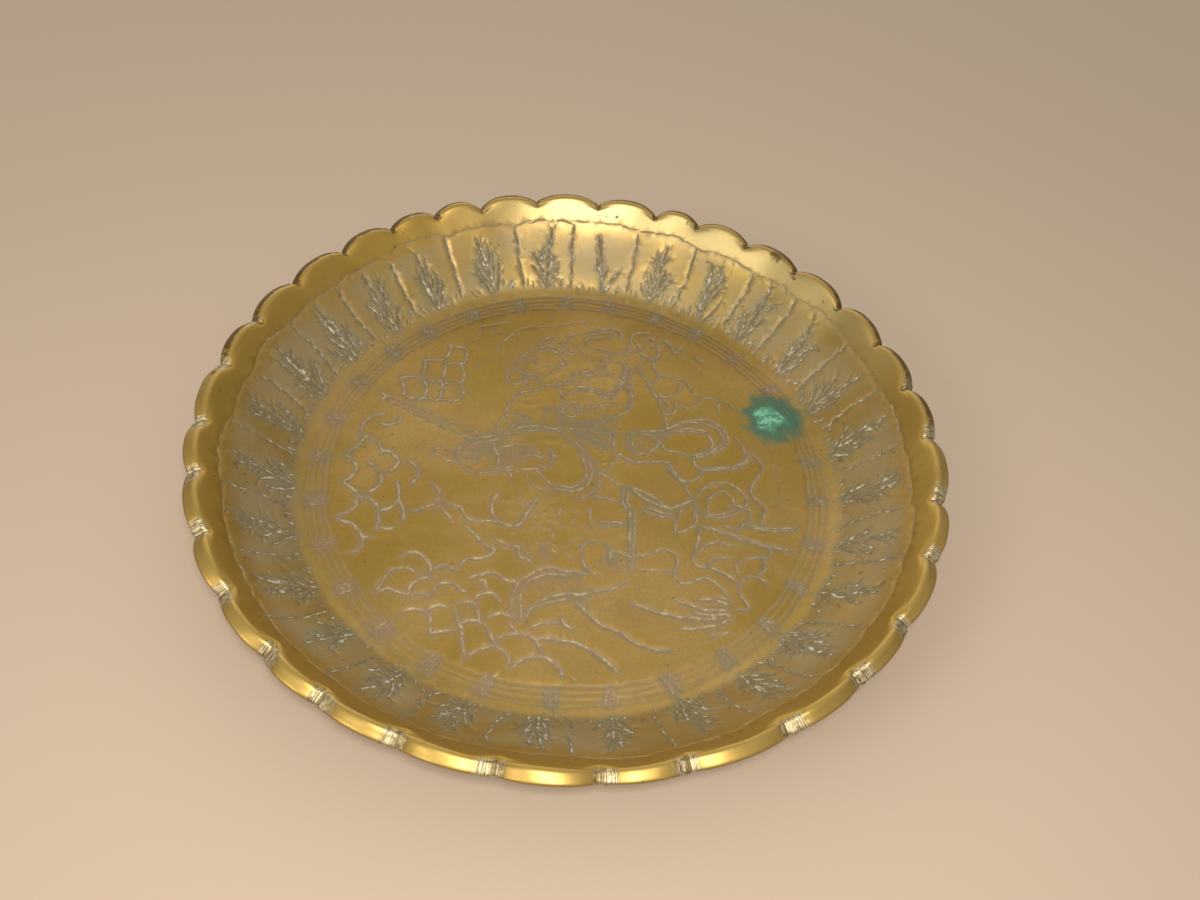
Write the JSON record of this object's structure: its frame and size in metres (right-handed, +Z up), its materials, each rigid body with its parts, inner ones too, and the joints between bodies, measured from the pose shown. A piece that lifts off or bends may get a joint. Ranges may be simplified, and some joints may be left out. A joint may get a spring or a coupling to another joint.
{
  "type": "engraved plate",
  "caption": "Round shallow brass charger with a flat floor, coved wall, scalloped turned-over lip and a foot ring soldered under the floor.",
  "frame": {"origin": "centre of the foot ring's underside, on the surface that the plate stands on", "axes": "+Z up, through the middle of the floor; a scallop's crest lies on +X; the engraved picture is upright seen from about -Y"},
  "size_m": [0.26, 0.26, 0.0357],
  "materials": {
    "aged_brass": "aged golden-brown brass, chased decoration with grey-green residue in its lines, worn bright along the lip",
    "foot_brass": "plain aged brass strip, rubbed bright where it stands",
    "soft_solder": "dull grey tin-lead solder"
  },
  "bodies": {
    "root": {"dish": "aged_brass", "foot_ring": "foot_brass", "foot_ring_solder": "soft_solder"}
  },
  "joints": []
}
